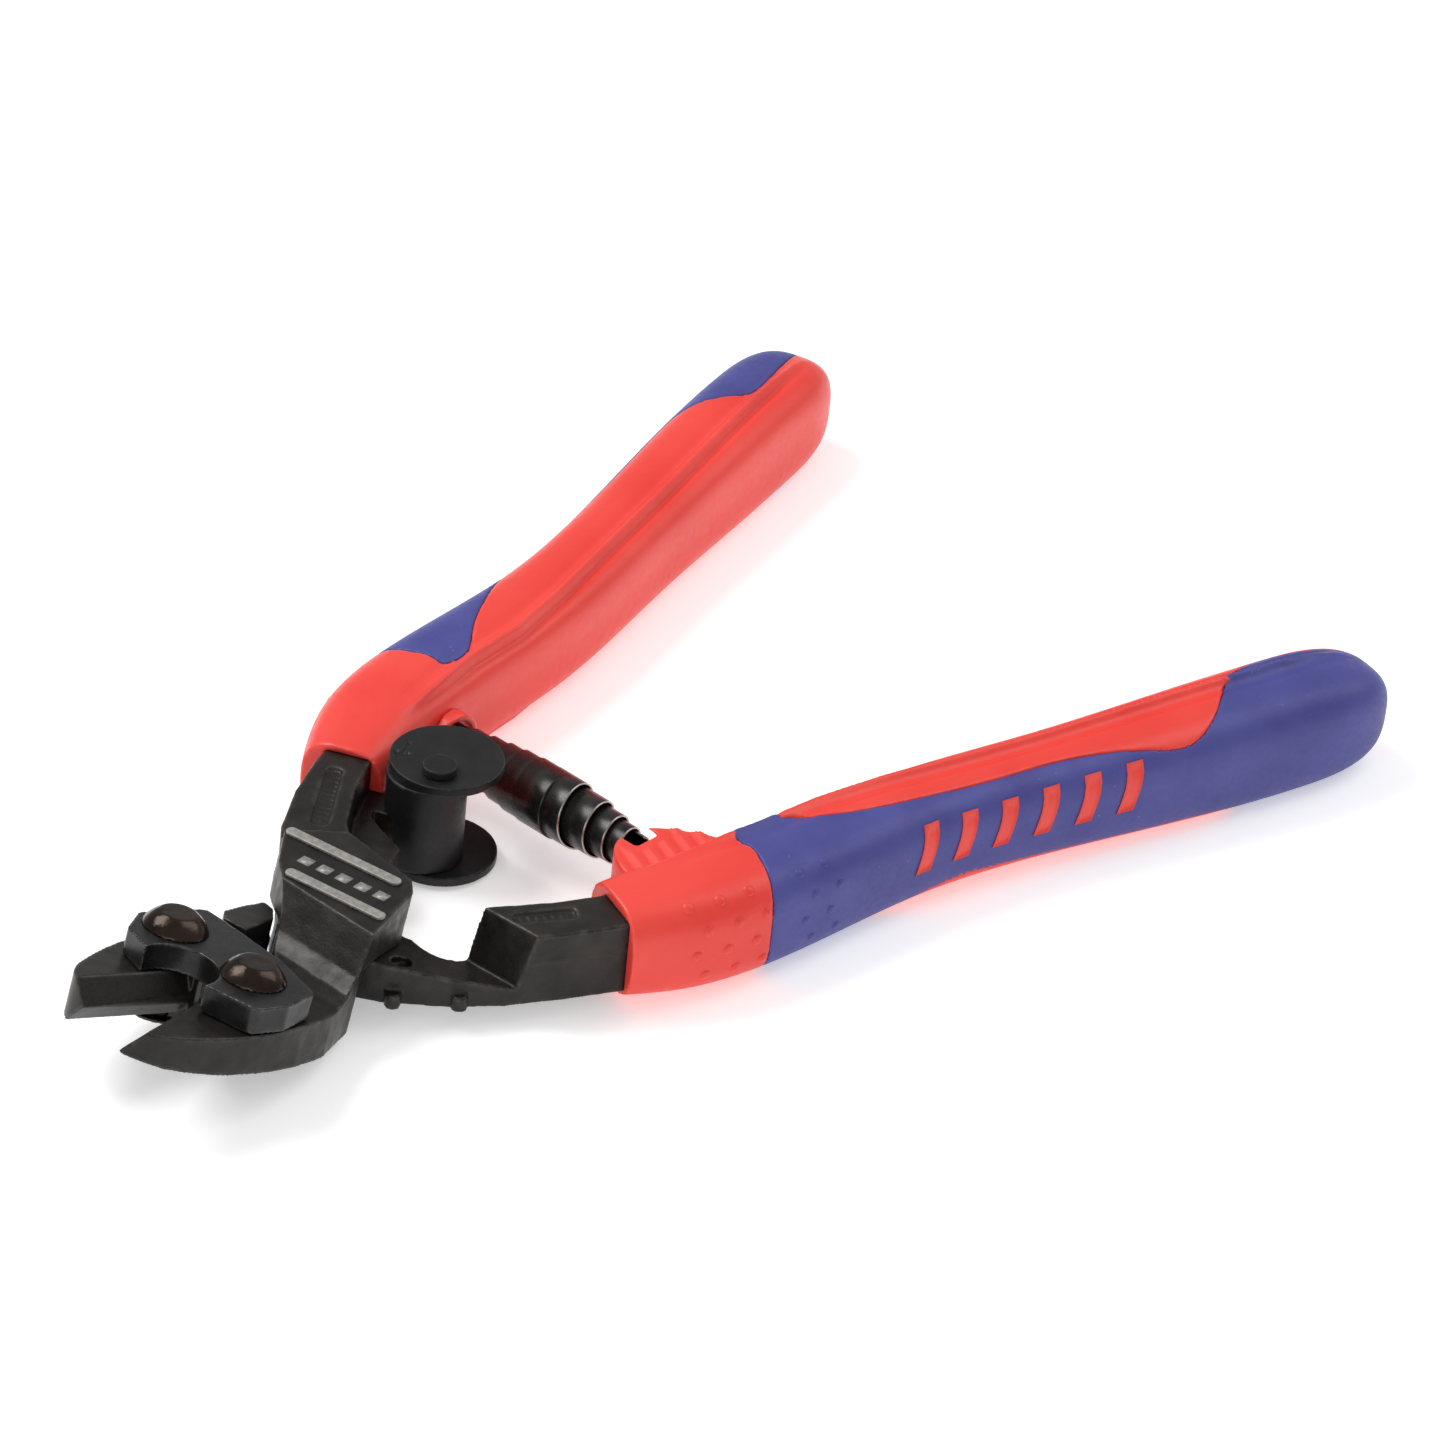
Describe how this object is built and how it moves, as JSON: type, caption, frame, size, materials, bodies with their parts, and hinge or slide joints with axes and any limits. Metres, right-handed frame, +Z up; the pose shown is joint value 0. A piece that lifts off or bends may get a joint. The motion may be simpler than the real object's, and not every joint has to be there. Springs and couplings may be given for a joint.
{
  "type": "compact bolt cutters",
  "caption": "Compact high-leverage bolt cutters with an angled head, twin link plates, opening spring, locking drum and two-colour grips.",
  "frame": {"origin": "centre of the bounding box at floor level, tool lying open on its side", "axes": "+X from the jaws to the ends of the grips, +Y towards the grip of the lever that carries the fixed jaw, +Z up from the bench"},
  "size_m": [0.2008, 0.1216, 0.0188],
  "materials": {
    "forged_steel": "black oxide, satin",
    "jaw_steel": "black oxide, satin",
    "plate_steel": "black oxide, smooth",
    "bolt_steel": "black oxide, polished dome",
    "bar_silver": "ground bare steel",
    "pin_steel": "ground",
    "grip_red": "satin moulded",
    "grip_blue": "soft matt",
    "drum_black": "satin moulded",
    "spring_steel": "blued strip"
  },
  "bodies": {
    "lever_a": {"lever_a_forging": "forged_steel", "block_bars": "bar_silver", "pivot_pin": "pin_steel", "drum_pin": "pin_steel", "grip_a_sleeve": "grip_red", "grip_a_panel": "grip_blue", "spring_seat_a": "grip_red", "volute_spring": "spring_steel"},
    "lever_b": {"lever_b_forging": "forged_steel", "grip_b_sleeve": "grip_red", "grip_b_panel": "grip_blue", "spring_hood_b": "grip_red"},
    "link_plates": {"link_plate_top": "plate_steel", "link_plate_bottom": "plate_steel", "link_bolts": "bolt_steel", "link_nuts": "bolt_steel"},
    "moving_jaw": {"moving_jaw": "jaw_steel"},
    "lock_drum": {"drum_barrel": "drum_black", "drum_flange_top": "drum_black", "drum_flange_bottom": "drum_black"}
  },
  "joints": [
    {"name": "lever_close", "type": "hinge", "parent": "lever_a", "child": "lever_b", "pos_m": [-0.05454, 0.002, 0.00251], "axis": [0.2419, 0, 0.9703], "range_deg": [0, 30], "stiffness_Nm_per_rad": 0.35, "springref_deg": -34.38, "deforming": ["volute_spring"]},
    {"name": "plates_swing", "type": "hinge", "parent": "lever_a", "child": "link_plates", "pos_m": [-0.07977, -0.0078, 0.0088], "axis": [0.2419, 0, 0.9703], "range_deg": [0, 15]},
    {"name": "jaw_close", "type": "hinge", "parent": "link_plates", "child": "moving_jaw", "pos_m": [-0.07977, 0.0068, 0.0088], "axis": [0.2419, 0, 0.9703], "range_deg": [0, 15]},
    {"name": "drum_turn", "type": "hinge", "parent": "lever_a", "child": "lock_drum", "pos_m": [-0.02657, 0.009, 0.0082], "axis": [0, 0, 1], "range_deg": [0, 30]}
  ],
  "couplings": [
    {"joint": "plates_swing", "follows": "lever_close", "ratio": 0.5},
    {"joint": "jaw_close", "follows": "lever_close", "ratio": 0.5}
  ]
}
